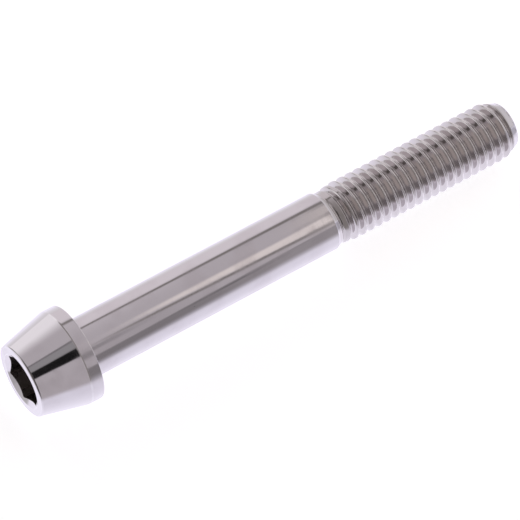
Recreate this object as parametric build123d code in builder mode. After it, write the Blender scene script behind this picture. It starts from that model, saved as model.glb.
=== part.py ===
from build123d import *
import os
from math import atan, atan2, ceil, cos, degrees, radians, sin, tan

os.makedirs("parts", exist_ok=True)

# A tapered-head hexagon socket screw, turned from one bar, with a rolled right-hand thread.
# Stations are distances along the screw's axis, from the flat face of the head (0) to the point.

# Tapered head: small flat face, cone, and a straight rim above the seat
head_height = 8.0
face_diameter = 9.65
rim_diameter = 12.75
rim_height = 1.7
face_bevel = 0.2
rim_bevel = 0.2

# Hexagon socket, with a countersunk mouth and a shallow conical floor
socket_width = 6.0
socket_depth = 4.2
socket_turn = -2.75  # degrees from "a corner at the top"
mouth_diameter = 7.5
mouth_angle = 120.0
floor_diameter = 5.6
floor_angle = 150.0

# Plain shank
length_under_head = 65.0
shank_diameter = 7.85
seat_relief = 0.4  # cone between seat and shank

# Neck between shank and thread, as thick as the bar that the thread is rolled on
neck_diameter = 7.12
neck_taper_length = 0.5
neck_length = 0.6

# Thread, from the end of the plain shank to the point
threaded_length = 28.6
thread_diameter = 7.85
thread_pitch = 1.25
flank_angle = 60.0
crest_width = 0.22
root_width = 0.23
crest_rise_length = 2.3  # the first crests grow from the neck over this length
run_out_length = 0.86  # the groove fades out into the neck over this length
stretch_turns = 4.5  # the groove is cut in stretches of this many turns

# Chamfered point, with the corner at its end broken
point_length = 2.3
point_diameter = 6.0
point_bevel = 0.3

# How far cutters stand proud of the metal that they cut, and where the seams of the turned faces lie
cutter_margin = 0.1
seam_turn = -3.0  # degrees from the top

# Radii, depths and stations that follow
face_radius = face_diameter / 2
rim_radius = rim_diameter / 2
shank_radius = shank_diameter / 2
neck_radius = neck_diameter / 2
crest_radius = thread_diameter / 2
point_radius = point_diameter / 2
mouth_radius = mouth_diameter / 2
floor_radius = floor_diameter / 2
flank_slope = tan(radians(flank_angle / 2))
groove_width = thread_pitch - crest_width
root_radius = crest_radius - (groove_width - root_width) / 2 / flank_slope
groove_top = crest_radius + cutter_margin
groove_top_half = groove_width / 2 + cutter_margin * flank_slope
mouth_depth = mouth_radius / tan(radians(mouth_angle / 2))
floor_depth = floor_radius / tan(radians(floor_angle / 2))

overall_length = head_height + length_under_head
cone_end = head_height - rim_height
cone_slope = (rim_radius - face_radius) / cone_end
shank_end = overall_length - threaded_length
neck_start = shank_end + neck_taper_length
neck_end = neck_start + neck_length
full_crest_start = neck_end + crest_rise_length
full_groove_start = neck_end + run_out_length
point_start = overall_length - point_length
point_slope = (crest_radius - point_radius) / point_length
stretch_length = stretch_turns * thread_pitch
stretch_count = ceil((overall_length + thread_pitch - full_groove_start) / stretch_length)
groove_end = full_groove_start + stretch_count * stretch_length
blank_end = groove_end + thread_pitch  # the bar is cut to length after threading

# Rest: the screw lies on the back edge of its rim and on the last crest before the point,
# so its axis dips towards the point. The floor is Z = 0, and the box's centre is over the origin.
rim_edge = head_height - rim_bevel
tilt = atan2(rim_radius - crest_radius, point_start - rim_edge)
face_height = rim_edge * sin(tilt) + rim_radius * cos(tilt)
end_shift = (point_radius - point_bevel) - (face_radius - face_bevel)
face_offset = -(overall_length * cos(tilt) + end_shift * sin(tilt)) / 2

face_centre = Vector(face_offset, 0, face_height)
along = Vector(cos(tilt), 0, -sin(tilt))
upward = Vector(sin(tilt), 0, cos(tilt))
screw_axis = Axis(face_centre, along)
seam_side = Vector(0, -1, 0).rotate(screw_axis, seam_turn)
profile_plane = Plane(face_centre, x_dir=along, z_dir=seam_side)  # x: station, y: radius
face_plane = Plane(face_centre, x_dir=upward, z_dir=along)

# Thread groove: its full depth starts at the top of the screw, and it runs out the other way
run_out_angle = degrees(atan((neck_radius - root_radius) / run_out_length))
groove_stretches = [
    (stretch * stretch_turns, along, stretch_length, 0) for stretch in range(stretch_count)
]  # turns from the full depth's start, heading, length along the axis, cone angle
groove_stretches.append((0, -along, run_out_length + neck_length, run_out_angle))

with BuildPart() as screw:
    # Turned blank, from the face to beyond the point
    with BuildSketch(profile_plane) as blank_section:
        with BuildLine() as blank_outline:
            Polyline(
                (0, 0),
                (0, face_radius - face_bevel),
                (face_bevel, face_radius + face_bevel * cone_slope),
                (cone_end, rim_radius),
                (rim_edge, rim_radius),
                (head_height, rim_radius - rim_bevel),
                (head_height, shank_radius + seat_relief),
                (head_height + seat_relief, shank_radius),
                (shank_end, shank_radius),
                (neck_start, neck_radius),
                (neck_end, neck_radius),
                (full_crest_start, crest_radius),
                (blank_end, crest_radius),
                (blank_end, 0),
                close=True,
            )
        make_face()
    revolve(axis=screw_axis)

    # Right-hand thread groove, and its run-out into the neck
    for turns, heading, length, widening in groove_stretches:
        centre = face_centre + along * (full_groove_start + turns * thread_pitch)
        side = upward.rotate(screw_axis, 360 * turns)
        turning_plane = Plane(centre, x_dir=side, z_dir=heading)
        spiral = Helix(thread_pitch, length, root_radius, cone_angle=widening, mode=Mode.PRIVATE)
        with BuildSketch(Plane(centre, x_dir=side, z_dir=side.cross(along))) as groove_section:
            with BuildLine() as groove_outline:
                Polyline(
                    (root_radius, -root_width / 2),
                    (groove_top, -groove_top_half),
                    (groove_top, groove_top_half),
                    (root_radius, root_width / 2),
                    close=True,
                )
            make_face()
        sweep(path=spiral.moved(turning_plane.location), is_frenet=True, mode=Mode.SUBTRACT)

    # Chamfered point, turned after the thread
    with BuildSketch(profile_plane) as point_waste:
        with BuildLine() as point_outline:
            Polyline(
                (point_start - cutter_margin, crest_radius + cutter_margin * point_slope),
                (overall_length - point_bevel, point_radius + point_bevel * point_slope),
                (overall_length, point_radius - point_bevel),
                (overall_length, 0),
                (blank_end + cutter_margin, 0),
                (blank_end + cutter_margin, crest_radius + cutter_margin * point_slope),
                close=True,
            )
        make_face()
    revolve(axis=screw_axis, mode=Mode.SUBTRACT)

    # Hexagon socket, its countersunk mouth and its conical floor
    with BuildSketch(face_plane) as socket_section:
        RegularPolygon(socket_width / 2, 6, major_radius=False, rotation=socket_turn)
    extrude(amount=socket_depth, mode=Mode.SUBTRACT)
    with BuildSketch(profile_plane) as socket_cones:
        with BuildLine() as mouth_outline:
            Polyline((0, 0), (0, mouth_radius), (mouth_depth, 0), close=True)
        make_face()
        with BuildLine() as floor_outline:
            Polyline(
                (socket_depth, 0),
                (socket_depth, floor_radius),
                (socket_depth + floor_depth, 0),
                close=True,
            )
        make_face()
    revolve(axis=screw_axis, mode=Mode.SUBTRACT)

screw.part.label = "screw"
export_step(screw.part, "parts/screw.step")
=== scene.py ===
import bpy
import math
import numpy as np
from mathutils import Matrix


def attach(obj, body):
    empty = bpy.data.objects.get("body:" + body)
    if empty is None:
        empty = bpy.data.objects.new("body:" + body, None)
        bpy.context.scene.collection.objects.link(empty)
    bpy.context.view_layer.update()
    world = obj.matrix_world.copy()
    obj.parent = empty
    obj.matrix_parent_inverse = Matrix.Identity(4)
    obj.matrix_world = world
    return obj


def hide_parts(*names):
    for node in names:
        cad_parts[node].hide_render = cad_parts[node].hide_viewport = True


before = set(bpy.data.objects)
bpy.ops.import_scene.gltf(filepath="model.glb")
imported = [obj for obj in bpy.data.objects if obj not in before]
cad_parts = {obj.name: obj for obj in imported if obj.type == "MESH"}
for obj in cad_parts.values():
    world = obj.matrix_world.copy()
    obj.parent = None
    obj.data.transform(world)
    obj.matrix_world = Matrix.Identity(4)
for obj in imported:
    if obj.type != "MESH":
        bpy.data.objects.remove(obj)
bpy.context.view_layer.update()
mm = 0.001

# The screw's own numbers, in millimetres and degrees. Stations run along its axis, from the head's face.
shape = {
    "columns": 120,  # points round the axis, a multiple of 6 so that the socket's corners are on them
    "socketTurn": -2.75,  # of a corner, from the top
    "socketRadius": 3.0,  # to the middle of a wall
    "socketCorner": 70,  # the higher, the sharper the corners
    "socketDepth": 4.2,
    "floorRadius": 2.8,
    "floorAngle": 150.0,
    "mouthRadius": 3.75,
    "mouthAngle": 120.0,
    "faceRadius": 4.825,
    "coneEnd": 6.3,
    "rimRadius": 6.375,
    "headHeight": 8.0,
    "headBevel": 0.2,  # the solid's, on the face's and the rim's edge
    "shankRadius": 3.925,  # and the thread's crests
    "shankEnd": 44.4,
    "neckRadius": 3.56,
    "neckStart": 45.2,
    "threadStart": 44.6,  # the thread's rows of points begin on the neck's cone
    "crestRise": (45.3, 47.6),  # the first crests grow from the neck to their full radius
    "pitch": 1.25,
    "grooveStart": 46.36,  # where the groove, at the top of the screw, has its full depth
    "runOut": 1.35,  # the groove fades out into the neck over this length
    "rootRadius": 3.224,
    "rootWidth": 0.23,
    "flankAngle": 60.0,
    "crestRound": 0.1,
    "rootRound": 0.12,
    "wornCrest": 0.1,  # depth below the crests to which they are rubbed
    "pointStart": 70.7,
    "pointBright": 71.9,  # from here on the point is turned bright after the rolling
    "pointRadius": 3.0,
    "pointBevel": 0.3,  # the solid's, on the end
    "pointRound": 0.06,
    "threadEnd": 72.62,  # the thread's rows of points end just before the point's round
    "length": 73.0,
}

# Rest: the rim's back edge and the last crest before the point touch the floor, so the axis dips towards
# the point, and the middle of the box is over the origin
rimEdge = shape["headHeight"] - shape["headBevel"]
restTilt = math.atan2(shape["rimRadius"] - shape["shankRadius"], shape["pointStart"] - rimEdge)
faceHeight = rimEdge * math.sin(restTilt) + shape["rimRadius"] * math.cos(restTilt)
endShift = shape["pointRadius"] - shape["pointBevel"] - (shape["faceRadius"] - shape["headBevel"])
faceOffset = -(shape["length"] * math.cos(restTilt) + endShift * math.sin(restTilt)) / 2
faceCentre = (faceOffset, 0.0, faceHeight)


def smoothMin(a, b, width):
    # the lower of a and b, rounded where they are close: min(a, b) - (width - |a - b|)^2 / (4 width)
    overlap = np.clip(width - np.abs(a - b), 0, None)
    return np.minimum(a, b) - overlap**2 / (4 * width)


def roundedPath(corners, columns, steps=6, lead=0.4):
    # corners are (station, radius, reach), the first two a number or one value for each column. A corner
    # between two others gives way to the parabola (1-t)^2 a + 2t(1-t) corner + t^2 b, with a and b at its
    # reach on either side. A row at lead times the reach beyond a and b keeps the shading flat between the
    # bends. edge is 1 on the outward bends, where the metal wears
    everyColumn = np.ones(columns)
    points = [np.stack([station * everyColumn, radius * everyColumn], -1) for station, radius, _ in corners]
    share = np.linspace(0, 1, steps)[:, None, None]
    rows, edge = [points[0][None]], [0]
    for before, corner, after, (_, _, reach) in zip(points, points[1:], points[2:], corners[1:-1]):
        inward = (before - corner) / np.linalg.norm(before - corner, axis=-1, keepdims=True)
        outward = (after - corner) / np.linalg.norm(after - corner, axis=-1, keepdims=True)
        a, b = corner + reach * inward, corner + reach * outward
        bend = (1 - share) ** 2 * a + 2 * share * (1 - share) * corner + share**2 * b
        rows += [(a + lead * reach * inward)[None], bend, (b + lead * reach * outward)[None]]
        turnsOut = np.mean(inward[:, 0] * outward[:, 1] > inward[:, 1] * outward[:, 0]) > 0.5
        edge += [0] + [float(turnsOut)] * steps + [0]
    rows = np.concatenate(rows + [points[-1][None]])
    edge = np.repeat(np.array(edge + [0.0])[:, None], columns, 1)
    return rows[..., 0], rows[..., 1], edge


def threadRadius(station, angle):
    # crest, groove and point cone, whichever is lowest. A point belongs to the groove whose centre,
    # grooveStart + pitch * turns, is nearest. Its root climbs out to the neck over the run-out
    turnsHere = angle / 360
    turns = np.round((station - shape["grooveStart"]) / shape["pitch"] - turnsHere) + turnsHere
    across = np.abs(station - shape["grooveStart"] - shape["pitch"] * turns)
    climb = (shape["neckRadius"] - shape["rootRadius"]) / shape["runOut"]
    root = shape["rootRadius"] + climb * np.clip(-turns * shape["pitch"], 0, None)
    flank = root + (across - shape["rootWidth"] / 2) / math.tan(math.radians(shape["flankAngle"] / 2))
    groove = -smoothMin(-root, -flank, shape["rootRound"])
    neckRadii = shape["shankRadius"], shape["neckRadius"]
    crestStations = shape["shankEnd"], shape["neckStart"], *shape["crestRise"]
    crest = np.interp(station, crestStations, (*neckRadii, *neckRadii[::-1]))
    slope = (shape["shankRadius"] - shape["pointRadius"]) / (shape["length"] - shape["pointStart"])
    cone = shape["shankRadius"] - slope * (station - shape["pointStart"])
    return smoothMin(smoothMin(crest, groove, shape["crestRound"]), cone, shape["pointRound"])


def placed(station, radius, angle):
    # station along the axis, radius at angle round it, from the top towards the side that faces -Y
    along = np.array([math.cos(restTilt), 0, -math.sin(restTilt)])
    upward = np.array([math.sin(restTilt), 0, math.cos(restTilt)])
    sideways = np.array([0, -1, 0])
    everyPoint = np.broadcast_arrays(station, radius, np.radians(angle))
    station, radius, turn = (values[..., None] for values in everyPoint)
    spoke = np.cos(turn) * upward + np.sin(turn) * sideways
    return mm * (np.array(faceCentre) + station * along + radius * spoke)


def meshFromQuads(name, points, quads, slots, edge):
    # where a quad repeats a point it becomes a triangle, and with under three points left it is no face
    keep = quads != np.roll(quads, 1, axis=1)
    sides = keep.sum(1)
    quads, keep, slots, sides = (values[sides > 2] for values in (quads, keep, slots, sides))
    used, loops = np.unique(quads[keep], return_inverse=True)
    mesh = bpy.data.meshes.new(name)
    mesh.vertices.add(len(used))
    mesh.vertices.foreach_set("co", points[used].astype(np.float32).ravel())
    mesh.loops.add(len(loops))
    mesh.loops.foreach_set("vertex_index", loops.astype(np.int32).ravel())
    mesh.polygons.add(len(sides))
    mesh.polygons.foreach_set("loop_start", (np.cumsum(sides) - sides).astype(np.int32))
    mesh.polygons.foreach_set("use_smooth", np.ones(len(sides), bool))
    mesh.polygons.foreach_set("material_index", slots.astype(np.int32))
    mesh.attributes.new("edge", "FLOAT", "POINT").data.foreach_set("value", edge[used].astype(np.float32))
    mesh.update(calc_edges=True)
    mesh.validate()
    piece = bpy.data.objects.new(name, mesh)
    bpy.context.scene.collection.objects.link(piece)
    return piece


angles = shape["socketTurn"] + np.arange(shape["columns"]) * 360 / shape["columns"]

# Socket wall: six flats, 1 / radius^power = sum of (cos(angle to the flat's middle) / socketRadius)^power
flatMiddles = shape["socketTurn"] + 30 + 60 * np.arange(6)
towards = np.clip(np.cos(np.radians(angles[:, None] - flatMiddles)), 0, None)
power = shape["socketCorner"]
wallRadius = shape["socketRadius"] * (towards**power).sum(1) ** (-1 / power)
mouthDepth = (shape["mouthRadius"] - wallRadius) / math.tan(math.radians(shape["mouthAngle"] / 2))
floorTip = shape["socketDepth"] + shape["floorRadius"] / math.tan(math.radians(shape["floorAngle"] / 2))

# The outlines that are turned: station, radius and how far the rounding of the corner reaches
headPath = [
    (floorTip, 0.0, 0.0),
    (shape["socketDepth"], shape["floorRadius"], 0.05),
    (shape["socketDepth"], wallRadius, 0.06),
    (mouthDepth, wallRadius, 0.05),
    (0.0, shape["mouthRadius"], 0.06),
    (0.0, shape["faceRadius"], 0.2),
    (shape["coneEnd"], shape["rimRadius"], 0.12),
    (shape["headHeight"], shape["rimRadius"], 0.1),
    (shape["headHeight"], shape["shankRadius"], 0.4),
    (shape["shankEnd"], shape["shankRadius"], 0.03),
    (shape["threadStart"], threadRadius(shape["threadStart"], angles), 0.0),
]
headStations, headRadii, headEdge = roundedPath(headPath, shape["columns"])
endPath = [
    (shape["threadEnd"], threadRadius(shape["threadEnd"], angles), 0.0),
    (shape["length"], shape["pointRadius"], 0.3),
    (shape["length"], 0.0, 0.0),
]
endStations, endRadii, endEdge = roundedPath(endPath, shape["columns"])

# Rows of the thread wind with it: a row is at the same offset from the groove's centre all the way round.
# The offsets are closer together where the root and the crest are rounded
halfOffsets = np.array([0.04, 0.08, 0.115, 0.15, 0.2, 0.27, 0.34, 0.41, 0.455, 0.485, 0.515, 0.545, 0.585])
offsets = np.concatenate([-halfOffsets[::-1], [0], halfOffsets, [shape["pitch"] / 2]])
firstTurn = math.floor((shape["threadStart"] - shape["grooveStart"]) / shape["pitch"]) - 2
lastTurn = math.ceil((shape["threadEnd"] - shape["grooveStart"]) / shape["pitch"]) + 1
turnStarts = shape["grooveStart"] + shape["pitch"] * np.arange(firstTurn, lastTurn + 1)
rowStarts = (turnStarts[:, None] + offsets).ravel()
winding = rowStarts[:, None] + shape["pitch"] * angles / 360
threadStations = np.clip(winding, shape["threadStart"], shape["threadEnd"])
threadRadii = threadRadius(threadStations, angles)
threadEdge = np.clip((threadRadii - shape["shankRadius"]) / shape["wornCrest"] + 1, 0, 1)

rings = [(headStations, headRadii, headEdge), (threadStations, threadRadii, threadEdge),
         (endStations, endRadii, endEdge)]
points = np.concatenate([placed(station, radius, angles).reshape(-1, 3) for station, radius, _ in rings])
edge = np.concatenate([wear.ravel() for _, _, wear in rings])
starts = np.cumsum([0] + [station.size for station, _, _ in rings])
head, thread, end = (
    np.arange(start, stop).reshape(-1, shape["columns"]) for start, stop in zip(starts, starts[1:])
)
# A pole is one point, and winding rows that are cut off join the head's last ring or the end's first
head[0], end[-1] = head[0, 0], end[-1, -1]
thread = np.where(winding <= shape["threadStart"], head[-1], thread)
thread = np.where(winding >= shape["threadEnd"], end[0], thread)
nextTurn = np.concatenate([thread[len(offsets):, 0], np.full(len(offsets), end[0, 0])])
besideThread = np.concatenate([thread[:, 1:], nextTurn[:, None]], 1)


def quadsBetween(rows, beside):
    return np.stack([rows[:-1], beside[:-1], beside[1:], rows[1:]], -1).reshape(-1, 4)


headQuads = quadsBetween(head, np.roll(head, -1, 1))
threadQuads = quadsBetween(thread, besideThread)
endQuads = quadsBetween(end, np.roll(end, -1, 1))
# The socket's walls and floor lie behind its mouth and within the shank's radius
polishedSlot, socketSlot, rolledSlot = 0, 1, 2
inSocket = headRadii[:-1] < shape["shankRadius"]
inSocket &= (headStations[:-1] > mouthDepth) & (headStations[:-1] < shape["coneEnd"])
slots = np.concatenate([
    np.where(inSocket.ravel(), socketSlot, polishedSlot),
    np.where(threadStations[:-1].ravel() < shape["pointBright"], rolledSlot, polishedSlot),
    np.full(len(endQuads), polishedSlot),
])
allQuads = np.concatenate([headQuads, threadQuads, endQuads])
screw = meshFromQuads("tapered_screw", points, allQuads, slots, edge)
print("screw:", len(screw.data.polygons), "faces")


def groupOf(name, inputs, outputs):
    # a shader node group with named number inputs and outputs, and its two end nodes
    group = bpy.data.node_groups.new(name, "ShaderNodeTree")
    for label, value in inputs.items():
        socket = group.interface.new_socket(label, in_out="INPUT", socket_type="NodeSocketFloat")
        socket.default_value = value
    for label in outputs:
        group.interface.new_socket(label, in_out="OUTPUT", socket_type="NodeSocketFloat")
    return group, group.nodes.new("NodeGroupInput"), group.nodes.new("NodeGroupOutput")


def mathNode(tree, operation, *values):
    # a Math node whose inputs are other nodes' outputs or plain numbers; returns its output
    node = tree.nodes.new("ShaderNodeMath")
    node.operation = operation
    for socket, value in zip(node.inputs, values):
        if isinstance(value, bpy.types.NodeSocket):
            tree.links.new(value, socket)
        else:
            socket.default_value = value
    return node.outputs[0]


def rampNode(tree, value, start, end, low, high):
    # value between start and end becomes low to high, with smooth ends
    node = tree.nodes.new("ShaderNodeMapRange")
    node.interpolation_type = "SMOOTHSTEP"
    tree.links.new(value, node.inputs["Value"])
    for label, number in {"From Min": start, "From Max": end, "To Min": low, "To Max": high}.items():
        node.inputs[label].default_value = number
    return node.outputs["Result"]


def screwCoordinates(tree):
    # object coordinates turned and moved so that X runs along the screw's axis from its face, in metres
    place = tree.nodes.new("ShaderNodeTexCoord")
    mapping = tree.nodes.new("ShaderNodeMapping")
    mapping.vector_type = "TEXTURE"
    mapping.inputs["Location"].default_value = [mm * value for value in faceCentre]
    mapping.inputs["Rotation"].default_value = (0, restTilt, 0)
    tree.links.new(place.outputs["Object"], mapping.inputs["Vector"])
    return mapping.outputs["Vector"]


def noiseNode(tree, vector, scale, detail):
    node = tree.nodes.new("ShaderNodeTexNoise")
    node.inputs["Scale"].default_value = scale
    node.inputs["Detail"].default_value = detail
    tree.links.new(vector, node.inputs["Vector"])
    return node.outputs["Fac"]


# What all finishes share. Scales are cells or clouds in a metre. A range is where an effect starts and
# where it is whole
surfaceLook = {
    "waveScale": 900,
    "stainScale": 260,
    "stainRange": (0.42, 0.68),
    "speckScale": 700,
    "speckSize": 0.045,
    "speckChance": 0.11,
    "rubScale": 1400,
    "rubRange": (0.35, 0.6),
    "rubLeast": 0.4,  # share of the wear that every edge has
    "speckDark": 0.5,  # a speck's colour as a share of the stain's
    "roughenBy": {"Marks": 0.5, "Stains": 0.5, "Worn Edges": 0.3},
    "roughenRange": (0.1, 0.9),
}


def toolMarks():
    # The marks that a tool leaves: noise with one scale along the profile (station + radius), one around it
    group, given, result = groupOf("tool marks", {"Along": 9000, "Around": 120}, ["Marks", "Waves"])
    onScrew = screwCoordinates(group)
    parts = group.nodes.new("ShaderNodeSeparateXYZ")
    group.links.new(onScrew, parts.inputs[0])
    x, y, z = parts.outputs
    radius = mathNode(group, "SQRT", mathNode(group, "ADD", mathNode(group, "MULTIPLY", y, y),
                                              mathNode(group, "MULTIPLY", z, z)))
    stretched = group.nodes.new("ShaderNodeCombineXYZ")
    profile = mathNode(group, "ADD", x, radius)
    scaled = [(profile, "Along"), (y, "Around"), (z, "Around")]
    for (value, label), socket in zip(scaled, stretched.inputs):
        group.links.new(mathNode(group, "MULTIPLY", value, given.outputs[label]), socket)
    group.links.new(noiseNode(group, stretched.outputs[0], 1, 3), result.inputs["Marks"])
    group.links.new(noiseNode(group, onScrew, surfaceLook["waveScale"], 2), result.inputs["Waves"])
    return group


def handling():
    # Faint cloudy stains, edges rubbed bright here and there, and a few specks, each at the centre of a
    # cell. speckChance is the share of the cells that have one
    look = surfaceLook
    inputs = {"Stain Scale": look["stainScale"], "Speck Size": look["speckSize"], "Edge Wear": 1}
    group, given, result = groupOf("handling", inputs, ["Stains", "Specks", "Worn Edges"])
    onScrew = screwCoordinates(group)
    cloud = group.nodes.new("ShaderNodeTexNoise")
    cloud.inputs["Detail"].default_value = 4
    group.links.new(onScrew, cloud.inputs["Vector"])
    group.links.new(given.outputs["Stain Scale"], cloud.inputs["Scale"])
    stains = rampNode(group, cloud.outputs["Fac"], *look["stainRange"], 0, 1)
    group.links.new(stains, result.inputs["Stains"])
    cells = group.nodes.new("ShaderNodeTexVoronoi")
    cells.inputs["Scale"].default_value = look["speckScale"]
    group.links.new(onScrew, cells.inputs["Vector"])
    chance = group.nodes.new("ShaderNodeSeparateColor")
    group.links.new(cells.outputs["Color"], chance.inputs[0])
    near = mathNode(group, "LESS_THAN", cells.outputs["Distance"], given.outputs["Speck Size"])
    rare = mathNode(group, "LESS_THAN", chance.outputs[0], look["speckChance"])
    group.links.new(mathNode(group, "MULTIPLY", near, rare), result.inputs["Specks"])
    edge = group.nodes.new("ShaderNodeAttribute")
    edge.attribute_name = "edge"
    patches = noiseNode(group, onScrew, look["rubScale"], 3)
    rubbed = rampNode(group, patches, *look["rubRange"], look["rubLeast"], 1)
    rubbedEdge = mathNode(group, "MULTIPLY", edge.outputs["Fac"], rubbed)
    worn = mathNode(group, "MULTIPLY", rubbedEdge, given.outputs["Edge Wear"])
    group.links.new(worn, result.inputs["Worn Edges"])
    return group


metalFinish = {
    # tone: clean metal, and in the socket also painted shade of its recess; stain: where it is clouded;
    # worn: on rubbed edges, and how much; roughness: from the clean metal to the stains and marks;
    # marks: scale along and around; depth: of the marks and of the waves, in millimetres
    "polished_metal": {
        "tone": (0.725, 0.70, 0.725),
        "stain": (0.69, 0.66, 0.685),
        "worn": ((0.78, 0.76, 0.78), 0.7),
        "roughness": (0.07, 0.15),
        "marks": (9000, 120),
        "depth": (0.0003, 0.002),
    },
    # the socket's walls and floor: tone and stain darker than the polished metal's are painted shade of the
    # recess; the higher roughness and the marks are the broached finish
    "socket_metal_painted_shade": {
        "tone": (0.42, 0.39, 0.37),
        "stain": (0.30, 0.27, 0.25),
        "worn": ((0.60, 0.57, 0.56), 0.8),
        "roughness": (0.22, 0.38),
        "marks": (150, 5000),
        "depth": (0.0012, 0.001),
    },
    "rolled_metal": {
        "tone": (0.64, 0.61, 0.615),
        "stain": (0.58, 0.55, 0.55),
        "worn": ((0.82, 0.79, 0.79), 0.9),
        "roughness": (0.05, 0.12),
        "marks": (7000, 250),
        "depth": (0.0002, 0.0006),
    },
}


def blended(tree, share, first, second):
    # a Mix node from the first colour to the second by share; a colour is a node's output or three numbers
    mix = tree.nodes.new("ShaderNodeMix")
    mix.data_type = "RGBA"
    tree.links.new(share, mix.inputs["Factor"])
    for label, colour in (("A", first), ("B", second)):
        if isinstance(colour, bpy.types.NodeSocket):
            tree.links.new(colour, mix.inputs[label])
        else:
            mix.inputs[label].default_value = (*colour, 1)
    return mix.outputs["Result"]


def metal(name, finish, marksGroup, handlingGroup):
    material = bpy.data.materials.new(name)
    material.use_nodes = True
    tree = material.node_tree
    shader = tree.nodes["Principled BSDF"]
    shader.inputs["Metallic"].default_value = 1.0
    marks, wear = tree.nodes.new("ShaderNodeGroup"), tree.nodes.new("ShaderNodeGroup")
    marks.node_tree, wear.node_tree = marksGroup, handlingGroup
    marks.inputs["Along"].default_value, marks.inputs["Around"].default_value = finish["marks"]
    # colour: clean metal, clouded where it is stained, bright on worn edges, dark at the specks
    wornTone, wear.inputs["Edge Wear"].default_value = finish["worn"]
    clouded = blended(tree, wear.outputs["Stains"], finish["tone"], finish["stain"])
    rubbed = blended(tree, wear.outputs["Worn Edges"], clouded, wornTone)
    speckTone = [surfaceLook["speckDark"] * value for value in finish["stain"]]
    specked = blended(tree, wear.outputs["Specks"], rubbed, speckTone)
    tree.links.new(specked, shader.inputs["Base Color"])
    # roughness: the more marks, stains and wear, the rougher
    roughenBy = surfaceLook["roughenBy"]
    markShare = mathNode(tree, "MULTIPLY", marks.outputs["Marks"], roughenBy["Marks"])
    stainShare = mathNode(tree, "MULTIPLY", wear.outputs["Stains"], roughenBy["Stains"])
    wornShare = mathNode(tree, "MULTIPLY", wear.outputs["Worn Edges"], roughenBy["Worn Edges"])
    mixed = mathNode(tree, "ADD", mathNode(tree, "ADD", markShare, stainShare), wornShare)
    roughness = rampNode(tree, mixed, *surfaceLook["roughenRange"], *finish["roughness"])
    tree.links.new(roughness, shader.inputs["Roughness"])
    # relief: marks and waves, each as deep as the finish says
    markDepth, waveDepth = finish["depth"]
    relief = mathNode(tree, "ADD", mathNode(tree, "MULTIPLY", marks.outputs["Marks"], markDepth),
                      mathNode(tree, "MULTIPLY", marks.outputs["Waves"], waveDepth))
    bump = tree.nodes.new("ShaderNodeBump")
    bump.inputs["Distance"].default_value = mm
    tree.links.new(relief, bump.inputs["Height"])
    tree.links.new(bump.outputs["Normal"], shader.inputs["Normal"])
    return material


marksGroup, handlingGroup = toolMarks(), handling()
for name, finish in metalFinish.items():
    screw.data.materials.append(metal(name, finish, marksGroup, handlingGroup))
print("finishes:", ", ".join(metalFinish))
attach(screw, "root")
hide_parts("screw")

# Studio: a pale floor, and a tent of cloth panels round the screw's length that the metal reflects
studio = {
    "floorSize": 3.0,
    "floorTone": (0.9, 0.9, 0.9),
    "floorRoughness": 0.8,
    "floorGlow": 0.7,  # only as the camera and glossy rays see it
    "tentRadius": 0.3,
    "tentHalfLength": 0.9,
    "tentTone": 0.53,  # brightness of the bare cloth
    "tentTint": "rosy",
    "shankSpan": (0.083, 0.119),  # the shank's reflection, from its head end to the thread
    "spanReach": (-0.3, 2),  # how far slanting panels go on past its two ends, in such spans
    "endSoft": 0.02,
    "fineStep": 0.004,
    "finePlaces": (-0.26, 0.4),  # where the panels' ends are close together
    "coarseStep": 0.02,
    "seam": -150,  # turn at which the tube's first and last columns meet
}


def flatFloor():
    half = studio["floorSize"] / 2
    corners = [(-half, -half, 0), (half, -half, 0), (half, half, 0), (-half, half, 0)]
    mesh = bpy.data.meshes.new("floor")
    mesh.from_pydata(corners, [], [(0, 1, 2, 3)])
    floor = bpy.data.objects.new("floor", mesh)
    bpy.context.scene.collection.objects.link(floor)
    material = bpy.data.materials.new("floor_white")
    material.use_nodes = True
    nodes, links = material.node_tree.nodes, material.node_tree.links
    shader = nodes["Principled BSDF"]
    shader.inputs["Base Color"].default_value = (*studio["floorTone"], 1)
    shader.inputs["Roughness"].default_value = studio["floorRoughness"]
    shader.inputs["Emission Color"].default_value = (1, 1, 1, 1)
    path = nodes.new("ShaderNodeLightPath")
    either = nodes.new("ShaderNodeMath")
    either.operation = "MAXIMUM"
    links.new(path.outputs["Is Camera Ray"], either.inputs[0])
    links.new(path.outputs["Is Glossy Ray"], either.inputs[1])
    glow = nodes.new("ShaderNodeMath")
    glow.operation = "MULTIPLY"
    glow.inputs[1].default_value = studio["floorGlow"]
    links.new(either.outputs[0], glow.inputs[0])
    links.new(glow.outputs[0], shader.inputs["Emission Strength"])
    mesh.materials.append(material)
    return floor


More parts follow.
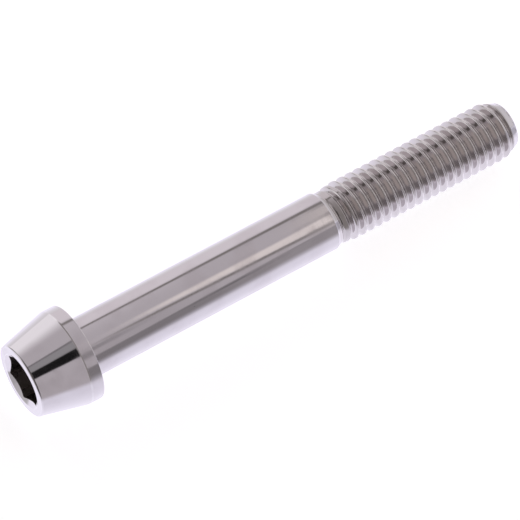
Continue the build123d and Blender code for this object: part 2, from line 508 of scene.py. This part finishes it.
# Tints of the cloth, which a panel's brightness multiplies
tentTints = {
    "plain": (1.0, 0.965, 0.99),
    "rosy": (1.0, 0.93, 0.97),
    "warm": (1.0, 0.915, 0.88),
    "cool": (1.0, 0.97, 1.09),
}
tentPanels = {
    # turn: degrees round the screw, from straight up towards -Y, with turnAtPoint where it differs at the
    # thread; place: stretch along the screw, in metres; tone: brightness; tint: a name from tentTints;
    # soft: width of the two long edges, in degrees; endSoft: width of the two ends, in metres
    "floor behind": {"turn": (-250, -90), "place": (-2, 2),
                     "tone": 0.82, "tint": "plain", "soft": (2, 2)},
    "floor far behind": {"turn": (-250, -108), "place": (-2, 2),
                         "tone": 1.07, "tint": "cool", "soft": (2, 34)},
    "glow by head": {"turn": (-50, -18), "place": (0.04, 0.1),
                     "tone": 0.6, "tint": "rosy", "soft": (10, 50), "endSoft": 0.03},
    "warm by thread": {"turn": (-40, 66), "place": (0.13, 0.142),
                       "tone": 0.58, "tint": "warm", "soft": (4, 6), "endSoft": 0.008},
    "back wall": {"turn": (-90, -46), "place": (0.02, 2),
                  "tone": 0.8, "tint": "rosy", "soft": (3, 10)},
    "back wall at head": {"turn": (-90, -44), "place": (-2, 0.02),
                          "tone": 1.0, "tint": "plain", "soft": (2, 36)},
    "light over thread": {"turn": (-10, 70), "place": (0.215, 0.32),
                          "tone": 0.64, "tint": "warm", "soft": (20, 20)},
    "wall past point": {"turn": (-110, 120), "place": (0.34, 2),
                        "tone": 0.74, "tint": "plain", "soft": (30, 20), "endSoft": 0.1},
    "floor past point": {"turn": (78, 250), "place": (0.34, 2),
                         "tone": 0.95, "tint": "cool", "soft": (4, 2), "endSoft": 0.1},
    "grey past point": {"turn": (84, 124), "place": (0.42, 2),
                        "tone": 0.54, "tint": "cool", "soft": (6, 16), "endSoft": 0.1},
    "gap past point": {"turn": (69, 80), "place": (0.34, 0.7),
                       "tone": 0.1, "tint": "cool", "soft": (4, 4), "endSoft": 0.06},
    "back seam": {"turn": (-44, -37), "turnAtPoint": (-43, -33), "place": (0.0, 0.14),
                  "tone": 0.23, "tint": "warm", "soft": (5, 6)},
    "opening over thread": {"turn": (6, 38), "place": (0.145, 0.2),
                            "tone": 0.06, "tint": "warm", "soft": (8, 10)},
    "seam over thread": {"turn": (-38, -22), "place": (0.14, 0.21),
                         "tone": 0.16, "tint": "warm", "soft": (6, 6)},
    "grey over head": {"turn": (-50, 104), "place": (-0.03, 0.045),
                       "tone": 0.26, "tint": "warm", "soft": (20, 20)},
    "grey by flag": {"turn": (42, 76), "place": (0.07, 0.095),
                     "tone": 0.45, "tint": "rosy", "soft": (6, 4)},
    "lamp strip": {"turn": (17, 26), "turnAtPoint": (21, 43), "place": (0.088, 0.13),
                   "tone": 0.87, "tint": "warm", "soft": (10, 5)},
    "lamp strip end": {"turn": (20, 42), "place": (0.129, 0.139),
                       "tone": 0.98, "tint": "warm", "soft": (8, 5), "endSoft": 0.008},
    "seam by strip": {"turn": (33, 40), "turnAtPoint": (44, 53), "place": (0.078, 0.13),
                      "tone": 0.23, "tint": "warm", "soft": (5, 6)},
    "light on crests": {"turn": (-20, 8), "place": (0.141, 0.17),
                        "tone": 0.85, "tint": "warm", "soft": (6, 8), "endSoft": 0.006},
    "shade on crests": {"turn": (10, 66), "place": (0.14, 0.165),
                        "tone": 0.26, "tint": "warm", "soft": (8, 8), "endSoft": 0.006},
    "seam at rim": {"turn": (40, 53), "place": (0.045, 0.078),
                    "tone": 0.3, "tint": "rosy", "soft": (8, 8)},
    "grey at cone": {"turn": (5, 21), "place": (-0.1, -0.04),
                     "tone": 0.32, "tint": "plain", "soft": (2, 2)},
    "seam at cone": {"turn": (2, 6), "place": (-0.1, -0.04),
                     "tone": 0.22, "tint": "rosy", "soft": (2, 2)},
    "black at cone": {"turn": (21, 41), "place": (-0.1, -0.04),
                      "tone": 0.01, "tint": "plain", "soft": (3, 4)},
    "grey past head": {"turn": (-250, -98), "place": (-2, -0.32),
                       "tone": 0.57, "tint": "plain", "soft": (20, 20), "endSoft": 0.1},
    "grey round face": {"turn": (-98, 122), "place": (-0.22, -0.1),
                        "tone": 0.2, "tint": "rosy", "soft": (14, 30)},
    "black over face": {"turn": (-30, 96), "place": (-0.42, -0.1),
                        "tone": 0.08, "tint": "warm", "soft": (20, 20)},
    "wall past head": {"turn": (-10, 130), "place": (-2, -0.42),
                       "tone": 0.3, "tint": "warm", "soft": (20, 30)},
    "front flag": {"turn": (72, 110), "turnAtPoint": (66, 110), "place": (0.045, 0.13),
                   "tone": 0.25, "tint": "rosy", "soft": (4, 4)},
    "front flag at point": {"turn": (75, 110), "turnAtPoint": (68, 110), "place": (0.098, 0.22),
                            "tone": 0.36, "tint": "rosy", "soft": (8, 8), "endSoft": 0.03},
    "edge of flag": {"turn": (72, 79), "turnAtPoint": (72, 77), "place": (0.092, 0.108),
                     "tone": 0.18, "tint": "rosy", "soft": (4, 5), "endSoft": 0.012},
    "floor in front": {"turn": (108, 250), "place": (0.045, 0.36),
                       "tone": 0.91, "tint": "cool", "soft": (34, 2)},
    "floor before head": {"turn": (107, 250), "place": (-2, 0.045),
                          "tone": 0.88, "tint": "cool", "soft": (14, 2)},
    "floor underneath": {"turn": (150, 250), "place": (-2, 2),
                         "tone": 1.08, "tint": "cool", "soft": (60, 2)},
    "grey under head": {"turn": (150, 250), "place": (-2, -0.6),
                        "tone": 0.48, "tint": "plain", "soft": (20, 20), "endSoft": 0.1},
    "floor under thread": {"turn": (112, 250), "place": (0.125, 0.4),
                           "tone": 1.12, "tint": "cool", "soft": (34, 2)},
    "grey under thread": {"turn": (98, 128), "place": (0.15, 0.22),
                          "tone": 0.45, "tint": "rosy", "soft": (8, 12)},
    "flag under thread": {"turn": (76, 102), "place": (0.155, 0.26),
                          "tone": 0.3, "tint": "rosy", "soft": (12, 8)},
}


def tentColour(place, turn):
    # each panel covers what is before it, with edges that fade as 3t^2 - 2t^3; along is 0 at the head's end
    # of the shank's reflection and 1 at the thread's
    colour = np.full(place.shape + (3,), studio["tentTone"]) * tentTints[studio["tentTint"]]
    spanStart, spanEnd = studio["shankSpan"]
    along = np.clip((place - spanStart) / (spanEnd - spanStart), *studio["spanReach"])
    for panel in tentPanels.values():
        headLow, headHigh = panel["turn"]
        pointLow, pointHigh = panel.get("turnAtPoint", panel["turn"])
        low, high = headLow + along * (pointLow - headLow), headHigh + along * (pointHigh - headHigh)
        (left, right), (softLow, softHigh) = panel["place"], panel["soft"]
        endSoft = panel.get("endSoft", studio["endSoft"])
        longEdges = [(turn - low) / softLow, (high - turn) / softHigh]
        ends = [(place - left) / endSoft, (right - place) / endSoft]
        over = np.ones_like(place)
        for edge in longEdges + ends:
            share = np.clip(edge + 0.5, 0, 1)
            over = over * share * share * (3 - 2 * share)
        cloth = panel["tone"] * np.array(tentTints[panel["tint"]])
        colour += (cloth - colour) * over[..., None]
    return colour


def clothTent():
    # a tube round X, closed at both ends: points are (place, -radius sin turn, radius cos turn)
    half, coarseStep = studio["tentHalfLength"], studio["coarseStep"]
    fineStart, fineEnd = studio["finePlaces"]
    headSide = np.arange(-half, fineStart, coarseStep)
    middle = np.arange(fineStart, fineEnd, studio["fineStep"])
    pointSide = np.arange(fineEnd, half, coarseStep)
    place = np.concatenate([[-half], headSide, middle, pointSide, [half, half]])
    turn = studio["seam"] + np.arange(360)
    place, turn = np.meshgrid(place, turn, indexing="ij")
    radius = np.full(place.shape, studio["tentRadius"])
    radius[0], radius[-1] = 0, 0
    points = np.stack([place, -radius * np.sin(np.radians(turn)), radius * np.cos(np.radians(turn))], -1)
    index = np.arange(place.size).reshape(place.shape)
    quads = quadsBetween(index, np.roll(index, -1, 1))
    mesh = bpy.data.meshes.new("tent")
    mesh.from_pydata(points.reshape(-1, 3).tolist(), [], quads.tolist())
    colours = np.ones((place.size, 4), np.float32)
    colours[:, :3] = tentColour(place, turn).reshape(-1, 3)
    attribute = mesh.color_attributes.new("panel", "FLOAT_COLOR", "POINT")
    attribute.data.foreach_set("color", colours.ravel())
    tent = bpy.data.objects.new("tent", mesh)
    bpy.context.scene.collection.objects.link(tent)
    tent.visible_camera = False
    tent.visible_shadow = False
    material = bpy.data.materials.new("tent_cloth")
    material.use_nodes = True
    nodes, links = material.node_tree.nodes, material.node_tree.links
    nodes.remove(nodes["Principled BSDF"])
    glow = nodes.new("ShaderNodeEmission")
    paint = nodes.new("ShaderNodeAttribute")
    paint.attribute_name = "panel"
    links.new(paint.outputs["Color"], glow.inputs["Color"])
    links.new(glow.outputs["Emission"], nodes["Material Output"].inputs["Surface"])
    material.cycles.emission_sampling = "NONE"
    mesh.materials.append(material)
    return tent


floor, tent = flatFloor(), clothTent()
floor.visible_glossy = False
print("studio:", len(tentPanels), "panels")

world = bpy.data.worlds.new("studio_white")
bpy.context.scene.world = world
world.use_nodes = True
world.node_tree.nodes["Background"].inputs["Color"].default_value = (1, 1, 1, 1)
world.node_tree.nodes["Background"].inputs["Strength"].default_value = 1.0

cameraSetup = {
    "location": (-142.57, -209.01, 375.22),  # millimetres
    "turn": (34.19, 0.0, -34.044),  # degrees
    "focalLength": 248.55,
    "sensorWidth": 36.0,
    "shift": (-0.5 / 520, 0.5 / 520),  # half a pixel of the 520-pixel frame
    "clip": (0.01, 10),  # metres
}
cameraData = bpy.data.cameras.new("camera")
cameraData.sensor_width = cameraSetup["sensorWidth"]
cameraData.lens = cameraSetup["focalLength"]
cameraData.shift_x, cameraData.shift_y = cameraSetup["shift"]
cameraData.clip_start, cameraData.clip_end = cameraSetup["clip"]
camera = bpy.data.objects.new("camera", cameraData)
camera.location = [mm * value for value in cameraSetup["location"]]
camera.rotation_euler = [math.radians(value) for value in cameraSetup["turn"]]
bpy.context.scene.collection.objects.link(camera)
bpy.context.scene.camera = camera
print("camera:", cameraSetup["location"], "focal length", cameraSetup["focalLength"])
bpy.context.scene.view_settings.view_transform = "Standard"
